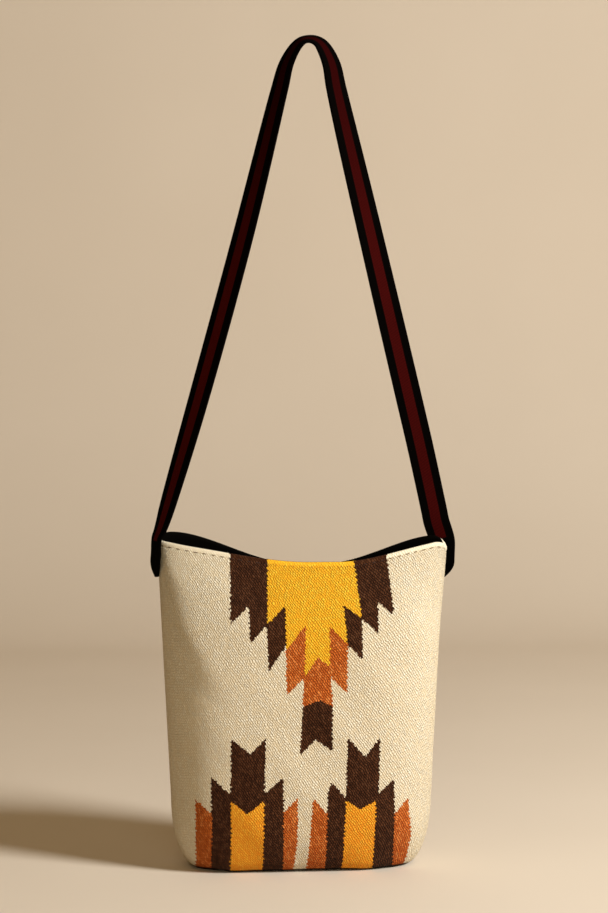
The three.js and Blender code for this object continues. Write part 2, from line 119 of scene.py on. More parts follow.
# Weave: distance across and up from one ridge of the twill to the next, the same for the yarns along a ridge
RIDGE_ACROSS = 2.6
RIDGE_UP = 3.4
YARN_ACROSS = 3.4
YARN_UP = 4.4
YARN_SHIFT = 0.38
YARN_SIZES = (0.4, 1.0)
YARN_END_HEIGHT = 0.3
WANDER = 1.6
WANDER_SCALE = 0.16
FUZZ_SCALE = 1.3
FUZZ_HEIGHT = 0.2
CLOUD_SCALE = 0.04
CLOUD_SHARE = 0.1
FLECK_START = 0.6
WEAVE_HEIGHT = 1.3

# Hem along the rim
HEM_DEPTH = 4.8
HEM_STEP_START = HEM_DEPTH - 1
HEM_STEP_WIDTH = 1.5
HEM_CALM = 0.6
HEM_LEVEL = 0.75
HEM_PROUD = 0.35
HEM_GROOVE = 0.5
HEM_GROOVE_WIDTH = 0.9
EDGE_ROUND = 1.5

# Stitches along the hem, with a length for each colour of thread
STITCH_PITCH = 8.5
STITCH_WIDTH = 0.9
STITCH_HEIGHT = 0.7
STITCH_SINK = 0.12
STITCH_LENGTHS = (4.6, 4.6, 2.2)
STITCH_LENGTH_SHARES = (0.6, 1.05)

# Shades that change up the cloth: painted contact shade at the ground, then a deeper yellow, each full up to
# one height
PAINTED_FOOT_SHADE = (0.006, 0.0035, 0.002)
PAINTED_FOOT_SHADE_SHARE = 0.95
PAINTED_FOOT_SHADE_FULL = 7.5
PAINTED_FOOT_SHADE_END = 10
LOW_SHARE = 0.8
LOW_FULL = 60
LOW_END = 160


# Number helpers
def clamp(value):
    return np.clip(value, 0.0, 1.0)


def smooth(value):
    share = clamp(value)
    return share * share * (3 - 2 * share)


def lerp(a, b, share):
    return a + (b - a) * share


def quarter_ellipse(share):
    return np.sqrt(1 - clamp(1 - share) ** 2)


# Body surface
def half_width(z):
    opening = np.maximum(0, z - CORNER_HEIGHT) / (RIM_HEIGHT - CORNER_HEIGHT)
    side = lerp(HIP_HALF_WIDTH, RIM_HALF_WIDTH, opening)
    return side - CORNER_WIDTH * (1 - quarter_ellipse(z / CORNER_HEIGHT))


def flare_right(z):
    return RIM_FLARE_RIGHT * smooth((z - RIM_HEIGHT + RIM_FLARE_DEPTH) / RIM_FLARE_DEPTH)


def closing(z):
    return smooth((z - CLOSING_START) / (CLOSING_DEPTH + CLOSING_PAST_RIM))


def along_height(z, foot, belly, mouth):
    low = np.maximum(0, 1 - z / LOWER_ROUND_HEIGHT) ** LOWER_ROUNDING
    return lerp(lerp(belly, foot, low), mouth, closing(z))


def half_depth(z):
    wall = along_height(z, FOOT_HALF_DEPTH, BELLY_HALF_DEPTH, MOUTH_HALF_DEPTH)
    return wall - FOOT_ROUND_DEPTH * (1 - quarter_ellipse(z / FOOT_ROUND_HEIGHT))


def squareness(z):
    return along_height(z, FOOT_SQUARENESS, BELLY_SQUARENESS, MOUTH_SQUARENESS)


def rim_line(x, flat, corner, low):
    reach = np.where(x < SNAP_X, RIM_HALF_WIDTH + SNAP_X, RIM_HALF_WIDTH - SNAP_X)
    return lerp(low, corner, smooth((np.abs(x - SNAP_X) - flat) / (reach - flat)))


def rim_at(x, towards_back):
    """Height of the mouth's edge: lowest at the snap, highest near its corners, higher at the back there."""
    on_left = x < SNAP_X
    low = RIM_HEIGHT - RIM_DIP
    lift = np.where(on_left, BACK_LIFT_LEFT, BACK_LIFT_RIGHT)
    level_front = np.where(on_left, RIM_FLAT_LEFT, RIM_FLAT_RIGHT)
    level_back = np.where(on_left, BACK_FLAT_LEFT, BACK_FLAT_RIGHT)
    front = rim_line(x, level_front, RIM_HEIGHT, low)
    back = rim_line(x, level_back, RIM_HEIGHT + lift, low - BACK_TUCK)
    corner = clamp((np.abs(x) - RIM_HALF_WIDTH + RIM_CORNER_WIDTH) / RIM_CORNER_WIDTH)
    front_drop = np.where(on_left, RIM_CORNER_DROP_LEFT, RIM_CORNER_DROP_RIGHT)
    back_drop = RIM_CORNER_DROP_BACK + np.where(on_left, 0, RIM_CORNER_SAG_RIGHT)
    drop = lerp(front_drop, back_drop, towards_back)
    return lerp(front, back, towards_back) - drop * (1 - np.sqrt(1 - corner ** 2))


def plan_facing(angle, z):
    facing = np.sqrt(clamp(1 - np.abs(np.sin(angle)) ** squareness(z)))
    return np.where(np.cos(angle) < 0, -facing, facing)


def section_point(angle, z):
    """A point of the outer skin at a height: angle 0 is the middle of the front."""
    across = np.sin(angle)
    x = half_width(z) * across + flare_right(z) * np.maximum(0, across) ** 2
    y = -half_depth(z) * plan_facing(angle, z)
    return np.stack([x, y, np.broadcast_to(z, x.shape)], axis=-1)


def skin_point(angle, share):
    """A point of the outer skin: share runs from the foot to the rim."""
    towards_back = (1 - plan_facing(angle, RIM_HEIGHT)) / 2
    return section_point(angle, rim_at(RIM_HALF_WIDTH * np.sin(angle), towards_back) * share)


def skin_normal(angle, share):
    step = 1e-4
    along = skin_point(angle + step, share) - skin_point(angle - step, share)
    upward = skin_point(angle, share + step) - skin_point(angle, np.maximum(0, share - step))
    normal = np.cross(along, upward)
    return normal / np.linalg.norm(normal, axis=-1, keepdims=True)


# Even steps along a curve
def path_length(points):
    steps = np.linalg.norm(np.diff(points, axis=0), axis=1)
    return np.concatenate([[0], np.cumsum(steps)])


def whole_steps(length, size):
    """How many cells fit a length, as a multiple of the cells that one inner cell spans."""
    return CELLS_PER_INNER * round(length / size / CELLS_PER_INNER)


def seam_to_seam(middle):
    return np.linspace(middle - math.pi / 2, middle + math.pi / 2, DENSE_STEPS)


def even_angles(middle, size):
    """Angles at even steps across the cloth, half way up."""
    dense = seam_to_seam(middle)
    length = path_length(skin_point(dense, np.full_like(dense, 0.5)))
    places = np.linspace(0, length[-1], whole_steps(length[-1], size) + 1)
    return np.interp(places, length, dense), places


def even_shares(middle, size, rim_steps):
    """Shares of the height at even steps up the cloth, with finer steps at the rounded rim."""
    dense = np.linspace(0, 1, DENSE_STEPS)
    length = path_length(skin_point(np.full_like(dense, middle), dense))
    top = length[-1]
    even = np.linspace(0, top - rim_steps[0], whole_steps(top, size) - len(rim_steps) + 1)
    places = np.concatenate([even, top - np.array(rim_steps[1:]), [top]])
    return np.interp(places, length, dense), places


# Meshes
def make_piece(name, points, faces, materials, face_material=None):
    mesh = bpy.data.meshes.new(name)
    mesh.from_pydata((np.asarray(points) * MM).tolist(), [], faces)
    for material in materials:
        mesh.materials.append(material)
    if face_material is not None:
        mesh.polygons.foreach_set("material_index", np.asarray(face_material, dtype=np.int32))
    mesh.polygons.foreach_set("use_smooth", np.ones(len(mesh.polygons), dtype=bool))
    mesh.validate()
    piece = bpy.data.objects.new(name, mesh)
    bpy.context.scene.collection.objects.link(piece)
    return piece


def point_values(piece, name, values):
    attribute = piece.data.attributes.new(name, "FLOAT", "POINT")
    attribute.data.foreach_set("value", np.asarray(values, dtype=np.float32))


def woven_points(piece, places):
    attribute = piece.data.attributes.new("weave", "FLOAT_VECTOR", "POINT")
    attribute.data.foreach_set("vector", np.asarray(places, dtype=np.float32).ravel())


def grid_faces(rows, columns, start=0, flip=False):
    at = start + np.arange((rows + 1) * (columns + 1)).reshape(rows + 1, columns + 1)
    corners = [at[:-1, :-1], at[:-1, 1:], at[1:, 1:], at[1:, :-1]]
    if flip:
        corners.reverse()
    return np.stack([c.ravel() for c in corners], axis=1)


def sheet_mesh(outer, inner, step):
    """Points and faces of a closed sheet, whose inner face is coarser than its outer one by a whole step."""
    rows, columns = outer.shape[0] - 1, outer.shape[1] - 1
    inner_rows, inner_columns = rows // step, columns // step
    inside = (rows + 1) * (columns + 1)
    faces = grid_faces(rows, columns).tolist()
    faces += grid_faces(inner_rows, inner_columns, inside, flip=True).tolist()

    def edge(out_index, in_index, count):
        for part in range(count):
            fine = [out_index(part * step + k) for k in range(step, -1, -1)]
            faces.append(fine + [in_index(part), in_index(part + 1)])

    def out_at(row, column):
        return row * (columns + 1) + column

    def in_at(row, column):
        return inside + row * (inner_columns + 1) + column

    edge(lambda i: out_at(0, i), lambda i: in_at(0, i), inner_columns)
    edge(lambda i: out_at(i, columns), lambda i: in_at(i, inner_columns), inner_rows)
    edge(lambda i: out_at(rows, columns - i), lambda i: in_at(inner_rows, inner_columns - i), inner_columns)
    edge(lambda i: out_at(rows - i, 0), lambda i: in_at(inner_rows - i, 0), inner_rows)
    return np.concatenate([outer.reshape(-1, 3), inner.reshape(-1, 3)]), faces


# Soft waves, the same on every run
WAVES = [(73, 91, 0.3, 0.3), (128, 61, 2.1, 0.3), (52, 143, 4.0, 0.2), (39, 47, 1.2, 0.08)]


def soft_waves(u, v):
    total = 0
    for across, upward, phase, height in WAVES:
        total = total + height * np.sin(2 * math.pi * (u / across + v / upward) + phase)
    return total


# Materials
def node(tree, kind, inputs=None, **settings):
    made = tree.nodes.new("ShaderNode" + kind)
    for key, value in settings.items():
        setattr(made, key, value)
    for key, value in (inputs or {}).items():
        if isinstance(value, bpy.types.NodeSocket):
            tree.links.new(value, made.inputs[key])
        else:
            made.inputs[key].default_value = value
    return made


def new_material(name, roughness, sheen=0.0, metallic=0.0, specular=0.3):
    material = bpy.data.materials.new(name)
    material.use_nodes = True
    tree = material.node_tree
    shader = tree.nodes["Principled BSDF"]
    shader.inputs["Roughness"].default_value = roughness
    shader.inputs["Sheen Weight"].default_value = sheen
    shader.inputs["Sheen Roughness"].default_value = 0.5
    shader.inputs["Metallic"].default_value = metallic
    shader.inputs["Specular IOR Level"].default_value = specular
    return material, tree, shader


def colour(rgb):
    return (*rgb, 1.0)


def mixed(tree, share, a, b):
    return node(tree, "Mix", {0: share, 6: a, 7: b}, data_type="RGBA").outputs[2]


def paint(tree, shader, share, dark, light):
    tree.links.new(mixed(tree, share, colour(dark), colour(light)), shader.inputs["Base Color"])


def own_place(tree):
    return node(tree, "TexCoord").outputs["Object"]


def noise_at(tree, place, scale, detail=2.0):
    return node(tree, "TexNoise", {"Vector": place, "Scale": scale, "Detail": detail}).outputs["Fac"]


def ranged(tree, value, low, high, to_low, to_high):
    inputs = {"Value": value, "From Min": low, "From Max": high, "To Min": to_low, "To Max": to_high}
    return node(tree, "MapRange", inputs).outputs["Result"]


def bump(tree, shader, height, strength, distance):
    made = node(tree, "Bump", {"Height": height, "Strength": strength, "Distance": distance})
    tree.links.new(made.outputs["Normal"], shader.inputs["Normal"])


def calculated(tree, operation, *values):
    return node(tree, "Math", dict(enumerate(values)), operation=operation).outputs[0]


def across_lines(tree, place, across, upward):
    """Counts the lines crossed on the way to a place."""
    inputs = {0: place, 1: (1 / across, 1 / upward, 0)}
    return node(tree, "VectorMath", inputs, operation="DOT_PRODUCT").outputs["Value"]


def rounded_lines(tree, count):
    """Half-round tops with a sharp valley between one line and the next."""
    wave = calculated(tree, "SINE", calculated(tree, "MULTIPLY", count, math.pi))
    return calculated(tree, "ABSOLUTE", wave)


def twill(tree, place):
    """Short yarns laid along slanting ridges: height from 0 to 1, and a random value for each yarn."""
    wander = node(tree, "TexNoise", {"Vector": place, "Scale": WANDER_SCALE, "Detail": 2.0}).outputs["Color"]
    inputs = {0: wander, 1: (2 * WANDER, 2 * WANDER, 0), 2: place}
    bent = node(tree, "VectorMath", inputs, operation="MULTIPLY_ADD").outputs["Vector"]
    ridge = across_lines(tree, bent, RIDGE_ACROSS, RIDGE_UP)
    line = calculated(tree, "FLOOR", ridge)
    yarn = calculated(tree, "MULTIPLY_ADD", line, YARN_SHIFT, across_lines(tree, bent, YARN_ACROSS, -YARN_UP))
    spot = node(tree, "CombineXYZ", {"X": line, "Y": calculated(tree, "FLOOR", yarn)}).outputs["Vector"]
    chance = node(tree, "TexWhiteNoise", {"Vector": spot}).outputs["Value"]
    ends = ranged(tree, rounded_lines(tree, yarn), 0.0, 0.7, YARN_END_HEIGHT, 1.0)
    size = ranged(tree, chance, 0.0, 1.0, *YARN_SIZES)
    full = calculated(tree, "MULTIPLY", ends, size)
    return calculated(tree, "MULTIPLY", rounded_lines(tree, ridge), full), chance


def wool(name, top, valley, fleck, fleck_share, hem=HEM_LEVEL, low=None):
    """Handspun wool: painted shade between the yarns, some yarns lighter, slightly uneven, painted contact
    shade at the foot.

    Low gives another top and valley shade for the cloth near the base.
    """
    material, tree, shader = new_material(name, 0.95, sheen=0.02, specular=0.06)
    place = node(tree, "Attribute", attribute_name="weave").outputs["Vector"]
    calm = node(tree, "Attribute", attribute_name="calm").outputs["Fac"]
    height, chance = twill(tree, place)
    fuzz = noise_at(tree, place, FUZZ_SCALE, 3.0)
    cloud = noise_at(tree, place, CLOUD_SCALE, 3.0)
    rough = calculated(tree, "ADD", height, ranged(tree, fuzz, 0.3, 0.7, -FUZZ_HEIGHT, FUZZ_HEIGHT))
    shown = node(tree, "Mix", {0: calm, 2: rough, 3: hem}).outputs[0]
    raised = ranged(tree, shown, 0.0, 0.7, 0.0, 1.0)
    # The valley colour is painted shade between the yarns
    base = mixed(tree, raised, colour(valley), colour(top))
    flecked = mixed(tree, ranged(tree, chance, FLECK_START, 1.0, 0.0, fleck_share), base, colour(fleck))
    uneven = mixed(tree, ranged(tree, cloud, 0.35, 0.65, 0.0, CLOUD_SHARE), flecked, colour(valley))
    height_up = node(tree, "SeparateXYZ", {"Vector": place}).outputs["Y"]
    if low:
        low_top, low_valley = low
        low_base = mixed(tree, raised, colour(low_valley), colour(low_top))
        low_share = ranged(tree, height_up, LOW_FULL, LOW_END, LOW_SHARE, 0.0)
        uneven = mixed(tree, low_share, uneven, low_base)
    # Painted contact shade: the cloth turns near black along its foot, all the way round
    foot_shade_share = ranged(tree, height_up, PAINTED_FOOT_SHADE_FULL, PAINTED_FOOT_SHADE_END, PAINTED_FOOT_SHADE_SHARE, 0.0)
    foot_shaded = mixed(tree, foot_shade_share, uneven, colour(PAINTED_FOOT_SHADE))
    tree.links.new(foot_shaded, shader.inputs["Base Color"])
    bump(tree, shader, shown, 1.0, WEAVE_HEIGHT * MM)
    return material


def webbing(name, top, valley, painted_lit):
    """Ribbed webbing, darker between the ribs, with painted light that makes it paler down from the crown."""
    material, tree, shader = new_material(name, 1.0, specular=0.01)
    ridge = node(tree, "Attribute", attribute_name="ridge").outputs["Fac"]
    fuzz = noise_at(tree, own_place(tree), 1500, 2.0)
    painted_light = node(tree, "Attribute", attribute_name="painted_light").outputs["Fac"]
    # Painted light: paler lower on the legs, with painted shade leaving the crown darkest
    base = mixed(tree, ridge, colour(valley), mixed(tree, painted_light, colour(top), colour(painted_lit)))
    worn = mixed(tree, ranged(tree, fuzz, 0.45, 0.75, 0.0, 0.3), base, colour(valley))
    tree.links.new(worn, shader.inputs["Base Color"])
    bump(tree, shader, fuzz, 0.3, 0.0004)
    return material


def plain_weave(name, dark, light, roughness):
    """Plain cotton: two crossing sets of fine threads."""
    material, tree, shader = new_material(name, roughness, specular=0.02)
    lines = {"Vector": own_place(tree), "Scale": 260.0, "Distortion": 0.6}
    warp = node(tree, "TexWave", lines, bands_direction="X").outputs["Fac"]
    weft = node(tree, "TexWave", lines, bands_direction="Z").outputs["Fac"]
    thread = calculated(tree, "MULTIPLY", warp, weft)
    paint(tree, shader, thread, dark, light)
    bump(tree, shader, thread, 0.4, 0.0003)
    return material


def thread_material(name, light, dark):
    """Sewing thread, darker between its turns."""
    material, tree, shader = new_material(name, 0.8, sheen=0.1, specular=0.2)
    lines = {"Vector": own_place(tree), "Scale": 420.0, "Distortion": 1.0}
    twist = node(tree, "TexWave", lines, bands_direction="DIAGONAL").outputs["Fac"]
    paint(tree, shader, twist, dark, light)
    bump(tree, shader, twist, 0.4, 0.0003)
    return material


def metal(name, light, dark):
    """Dull metal with a fine grain."""
    material, tree, shader = new_material(name, 0.38, metallic=1.0, specular=0.5)
    grain = noise_at(tree, own_place(tree), 700, 3.0)
    paint(tree, shader, grain, dark, light)
    bump(tree, shader, grain, 0.15, 0.0001)
    return material


# Wools as raised yarn, valley (painted shade between the yarns) and fleck, then the share of the flecks
CREAM = wool("wool_cream", (0.88, 0.80, 0.62), (0.66, 0.53, 0.33), (0.91, 0.84, 0.68), 0.4)
BROWN = wool("wool_brown", (0.095, 0.032, 0.012), (0.003, 0.001, 0.0005), (0.13, 0.054, 0.024), 0.35, hem=0.3)
LOW_YELLOW = ((0.99, 0.46, 0.038), (0.78, 0.18, 0.008))
YELLOW = wool("wool_yellow", (0.94, 0.56, 0.032), (0.76, 0.31, 0.012), (0.96, 0.64, 0.06), 0.4,
              hem=0.5, low=LOW_YELLOW)
RUST = wool("wool_rust", (0.74, 0.18, 0.028), (0.22, 0.034, 0.005), (0.84, 0.32, 0.09), 0.45)
# Webbing as top, valley, then the paler colour of its painted light
BLACK = webbing("strap_black", (0.0018, 0.0013, 0.0011), (0.0008, 0.0006, 0.0005), (0.0024, 0.0018, 0.0016))
RED = webbing("strap_red", (0.020, 0.0013, 0.0013), (0.014, 0.0009, 0.0009), (0.105, 0.007, 0.006))
LINING = plain_weave("lining_black", (0.0015, 0.0013, 0.001), (0.004, 0.0033, 0.0025), 0.95)
HEM_THREADS = [
    thread_material("hem_thread_tan", (0.26, 0.17, 0.08), (0.11, 0.07, 0.03)),
    thread_material("hem_thread_brown", (0.05, 0.02, 0.012), (0.02, 0.008, 0.005)),
    thread_material("hem_thread_mustard", (0.52, 0.25, 0.02), (0.36, 0.16, 0.012)),
]
NICKEL = metal("snap_metal", (0.62, 0.59, 0.54), (0.40, 0.38, 0.34))
BOARD = plain_weave("base_board", (0.024, 0.022, 0.020), (0.036, 0.033, 0.030), 0.7)
WOOLS = {"wool_cream": CREAM, "wool_brown": BROWN, "wool_yellow": YELLOW, "wool_rust": RUST}


# Colours of the woven fields, looked up on the solids
def field_tree():
    slots = {p["node"]: p["material_slot"] for p in frame["record"]["subparts"]}
    points, faces, owners = [], [], []
    for name in sorted(frame["nodes"]):
        if name.startswith("field_"):
            mesh = frame["nodes"][name].data
            start = len(points)
            points += [v.co.copy() for v in mesh.vertices]
            faces += [[start + i for i in p.vertices] for p in mesh.polygons]
            owners += [list(WOOLS).index(slots[name])] * len(mesh.polygons)
    return BVHTree.FromPolygons(points, faces), owners


def woven_colours(centres):
    """The wool of each place as a number, found by looking at the fields from in front."""
    tree, owners = field_tree()
    forward = Vector((0, 1, 0))
    in_front = cad_box[0][1] - 0.1
    steps = [(-1, 0), (1, 0), (0, -1), (0, 1)]
    tries = [(0, 0)] + [(reach * x, reach * z) for reach in (GAP, 2 * GAP) for x, z in steps]
    found = np.zeros(len(centres), dtype=np.int32)
    for index, (x, z) in enumerate(centres):
        for across, upward in tries:
            start = Vector(((x + across) * MM, in_front, (z + upward) * MM))
            face = tree.ray_cast(start, forward)[2]
            if face is not None:
                found[index] = owners[face]
                break
    return found


# Wool cloth of the front and the back
RIM_STEPS = (1.5, 0.9, 0.45, 0.12)
FIELD_RIM_MARGIN = 2.0
FIELD_FOOT_MARGIN = 2.4


def rounded_edge(distance, radius):
    inward = clamp(1 - distance / radius)
    return radius * (1 - np.sqrt(1 - inward ** 2))


def wool_cloth(name, middle, materials):
    """A closed sheet with a fine woven face, and its flat size in metres."""
    angles, u = even_angles(middle, CELL_WIDTH)
    shares, v = even_shares(middle, CELL_HEIGHT, RIM_STEPS)
    angle, share = np.meshgrid(angles, shares)
    across, upward = np.meshgrid(u, v)
    flat = skin_point(angle, share)
    normal = skin_normal(angle, share)

    from_rim = v[-1] - upward
    from_seam = np.minimum(across, u[-1] - across)
    in_hem = 1 - smooth((from_rim - HEM_STEP_START) / HEM_STEP_WIDTH)
    relief = rng.normal(0, YARN_SCATTER, share.shape)
    loose = smooth(from_rim / WAVE_RIM_FADE) * smooth(from_seam / WAVE_SEAM_FADE)
    relief += soft_waves(across, upward) * loose
    relief += HEM_PROUD * in_hem
    relief -= HEM_GROOVE * np.exp(-((from_rim - HEM_DEPTH) / HEM_GROOVE_WIDTH) ** 2)
    relief -= rounded_edge(from_rim, EDGE_ROUND) + rounded_edge(from_seam, EDGE_ROUND)
    outer = flat + relief[..., None] * normal
    outer[..., 2] = np.maximum(outer[..., 2], 0)
    coarse = slice(None, None, CELLS_PER_INNER)
    inner = (flat - WOOL_THICKNESS * normal)[coarse, coarse]
    points, faces = sheet_mesh(outer, inner, CELLS_PER_INNER)

    painted = np.zeros(len(faces), dtype=np.int32)
    if len(materials) > 1:
        colours = cell_colours(flat)
        painted[:len(colours)] = colours
    piece = make_piece(name, points, faces, materials, painted)
    weave = np.stack([across, upward, np.zeros_like(across)], axis=-1)
    woven_points(piece, np.concatenate([weave.reshape(-1, 3), weave[coarse, coarse].reshape(-1, 3)]))
    hem = np.concatenate([in_hem.ravel(), in_hem[coarse, coarse].ravel()])
    point_values(piece, "calm", HEM_CALM * hem)
    return piece, (u[-1] * MM, v[-1] * MM)


def cell_colours(flat):
    """The wool of each cell of the cloth, with toothed edges between the colours."""
    middle = (flat[:-1, :-1] + flat[1:, 1:]) / 2
    x, z = middle[..., 0], middle[..., 2]
    rim = np.broadcast_to(flat[-1, :-1, 2], z.shape)
    saw = 2 * np.abs(2 * np.mod(z / TOOTH_PITCH, 1) - 1) - 1
    x = x + TOOTH_DEPTH * saw + rng.normal(0, TOOTH_SCATTER, x.shape)
    z = np.clip(z, FIELD_FOOT_MARGIN, rim - FIELD_RIM_MARGIN)
    return woven_colours(np.stack([x.ravel(), z.ravel()], axis=1))


front_cloth, front_flat = wool_cloth("front_cloth", 0.0, list(WOOLS.values()))
back_cloth, back_flat = wool_cloth("back_cloth", math.pi, [CREAM])
field_nodes = [n for n in frame["nodes"] if n.startswith("field_")]
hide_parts("front_panel", *field_nodes)
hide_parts("back_panel")


# Base cloth, with the reach from its middle that the rounding of its edge counts on
BASE_EDGE_REACH = 25


def base_sheet():
    """A closed flat sheet in rings round its middle, under face first."""
    rings, around = 14, 160
    angles = np.linspace(0, 2 * math.pi, around, endpoint=False)
    reach = np.stack([(half_width(0.0) - GAP) * np.sin(angles),
                      (GAP - half_depth(0.0)) * plan_facing(angles, 0.0)], axis=1)
    points, faces = [], []
    for z, lift in ((0.0, 1), (WOOL_THICKNESS, -1)):
        for ring in range(1, rings + 1):
            share = ring / rings
            height = z + lift * rounded_edge(BASE_EDGE_REACH * (1 - share), EDGE_ROUND)
            points.append(np.column_stack([reach * share, np.full(around, height)]))
        points.append(np.array([[0.0, 0.0, z]]))
    top = rings * around + 1
    for side, start in ((0, 0), (1, top)):
        for ring in range(rings - 1):
            for i in range(around):
                j = (i + 1) % around
                a = start + ring * around + i
                b = start + ring * around + j
                quad = [a, b, b + around, a + around]
                faces.append(quad if side else quad[::-1])
        centre = start + rings * around
        for i in range(around):
            j = (i + 1) % around
            faces.append([centre, start + i, start + j][:: -1 if side else 1])
    rim = (rings - 1) * around
    for i in range(around):
        j = (i + 1) % around
        faces.append([rim + i, rim + j, top + rim + j, top + rim + i][::-1])
    places = np.concatenate(points)
    piece = make_piece("base_cloth", places, faces, [CREAM])
    woven_points(piece, places * [1, 1, 0])
    return piece


base_cloth = base_sheet()
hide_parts("base_panel")


# Lining
LINING_RISE = 1.2
LINING_RISE_START = 0.97
WRINKLES = 23
WRINKLE_HEIGHT = 0.35


def lining_bucket():
    """A closed bucket of thin cotton inside the wool, which stands a little above the rim."""
    around, rows, rim_rows = 240, 70, 3
    angles = np.linspace(0, 2 * math.pi, around, endpoint=False)
    rim_shares = np.linspace(LINING_RISE_START, 1, rim_rows + 1)[1:]
    shares = np.concatenate([np.linspace(0, LINING_RISE_START, rows - rim_rows), rim_shares])
    angle, share = np.meshgrid(angles, shares)
    flat = skin_point(angle, share)
    normal = skin_normal(angle, share)
    sway = 3 * np.sin(share * 9)
    slack = smooth(share * 3) * smooth((1 - share) * 8)
    wrinkle = WRINKLE_HEIGHT * np.sin(angle * WRINKLES + sway) * slack
    rise = LINING_RISE * smooth((share - LINING_RISE_START) / (1 - LINING_RISE_START))

    def layer(inset, floor):
        points = flat - (inset + wrinkle)[..., None] * normal
        points[..., 2] = np.maximum(points[..., 2], floor) + rise
        return points

    outer = layer(WOOL_THICKNESS + GAP, LINING_FLOOR)
    inner = layer(WOOL_THICKNESS + GAP + LINING_THICKNESS, LINING_FLOOR + LINING_THICKNESS)
    size = around * rows
    faces = []
    for i in range(around):
        j = (i + 1) % around
        for row in range(rows - 1):
            a, b = row * around + i, row * around + j
            faces.append([a, b, b + around, a + around])
            faces.append([size + a, size + a + around, size + b + around, size + b])
        a, b = (rows - 1) * around + i, (rows - 1) * around + j
        faces.append([a, b, size + b, size + a])
        faces.append([2 * size, j, i])
        faces.append([2 * size + 1, size + i, size + j])
    centres = np.array([[0, 0, LINING_FLOOR], [0, 0, LINING_FLOOR + LINING_THICKNESS]])
    points = np.concatenate([outer.reshape(-1, 3), inner.reshape(-1, 3), centres])
    return make_piece("lining_cloth", points, faces, [LINING])


lining_cloth = lining_bucket()
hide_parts("lining")


# Webbing strap, with -1 for its left side and 1 for its right
STRAP_WIDTH = 25
STRAP_THICKNESS = 2.2
STRIPE_WIDTH = 8
STRAP_EDGE = 0.4
STRAP_RISE = 476.5
STRAP_TOP_Z = RIM_HEIGHT + STRAP_RISE
STRAP_TOP_X = 6.5
STRAP_TAPER_LENGTH = 18
STRAP_CLEARANCE = 0.6
STRIPE_END_RISE = 3
STRAP_SETTLE = 110
LEG_FOOT_X = 128.4
LEG_BOW = {-1: 3.2, 1: 0}
LEG_FOOT_RISE = 32
SHOULDER_X = 27
SHOULDER_DROP = 47
RIB_PITCH = 0.8
RIB_HEIGHT = 0.14
WEB_COLUMNS = 20
# Painted light on the strap: full this far below its top, half as strong on the right-hand leg
PAINTED_LIGHT_DROP = 250
PAINTED_LIGHT_RIGHT = 0.5

# Legs as share of the way up and turn, where a turn of 0 faces outwards and 90 faces the front
LEG_TURNS = {
    -1: [(0, 30), (0.25, 45), (0.65, 47), (1, 34)],
    1: [(0, 96), (0.25, 93), (0.65, 76), (1, 54)],
}

# Crown as distance out, drop and turn, a little wider on the right than the solid's
CROWN = {
    -1: [(20.5, 23, 28), (11.5, 6.8, 22), (5.5, 1.4, 20)],
    1: [(22, 23, 47), (14, 6.8, 37), (7.5, 1.4, 28)],
}
CROWN_TURN = 21
TAPER_DROP = {-1: 15, 1: 21}

# Ends as distance out from the rim's side, rise above the rim and turn
END_PLACES = {
    -1: [(0.5, -31, 17), (1.8, -20, 17), (1.2, -8, 17), (0.6, 5, 17), (-2.2, 12, 21), (-5, 20, 25)],
    1: [(-1.5, -37, 105), (-2, -26, 105), (-2.5, -12, 105), (-3, 0, 105), (-5, 8, 103), (-8.7, 19, 100)],
}
SIDE_X = {-1: RIM_HALF_WIDTH, 1: RIM_HALF_WIDTH + RIM_FLARE_RIGHT}


def leg_route(sign):
    end = [(sign * (SIDE_X[sign] + out), RIM_HEIGHT + rise, turn) for out, rise, turn in END_PLACES[sign]]
    leg = []
    for share, turn in LEG_TURNS[sign]:
        straight = lerp(sign * LEG_FOOT_X, STRAP_TOP_X + sign * SHOULDER_X, share)
        x = straight - sign * LEG_BOW[sign] * math.sin(math.pi * share)
        leg.append((x, lerp(RIM_HEIGHT + LEG_FOOT_RISE, STRAP_TOP_Z - SHOULDER_DROP, share), turn))
    top = [(STRAP_TOP_X + sign * out, STRAP_TOP_Z - drop, turn) for out, drop, turn in CROWN[sign]]
    return end + leg + top


def end_back(sign, z):
    """How far back an end lies: the left one clears the front of the side seam, the right one its back."""
    places = END_PLACES[sign]
    turn = math.radians(places[0][2])
    away = -sign * np.array([sign * math.cos(turn), -math.sin(turn)])
    around = np.linspace(0, 2 * math.pi, 361)
    reach = (section_point(around, np.minimum(z, RIM_HEIGHT)[:, None])[..., :2] @ away).max(axis=1)
    nearest = min(out for out, rise, _ in places if rise <= 0)
    x = sign * (SIDE_X[sign] + nearest)
    return (reach + STRAP_CLEARANCE + STRAP_THICKNESS / 2 - away[0] * x) / away[1]


def strap_reach(x, z):
    drop = np.where(x < STRAP_TOP_X, TAPER_DROP[-1], TAPER_DROP[1])
    share = np.maximum(0, RIM_HEIGHT - drop - z) / STRAP_TAPER_LENGTH
    return 1 - share ** 2


def smooth_curve(points, steps):
    """A centripetal curve through the points."""
    p = np.array(points, dtype=float)
    p = np.vstack([2 * p[0] - p[1], p, 2 * p[-1] - p[-2]])
    t = np.linspace(0, 1, steps, endpoint=False)[:, None]
    pieces = []
    for a, b, c, d in zip(p[:-3], p[1:-2], p[2:-1], p[3:]):
        ab, bc, cd = (math.sqrt(np.linalg.norm(second - first)) for first, second in ((a, b), (b, c), (c, d)))
        leave = ((b - a) / ab - (c - a) / (ab + bc) + (c - b) / bc) * bc
        arrive = ((c - b) / bc - (d - b) / (bc + cd) + (d - c) / cd) * bc
        pieces.append(b * (2 * t ** 3 - 3 * t ** 2 + 1) + leave * (t ** 3 - 2 * t ** 2 + t)
                      + c * (3 * t ** 2 - 2 * t ** 3) + arrive * (t ** 3 - t ** 2))
    return np.vstack(pieces + [p[-2:-1]])


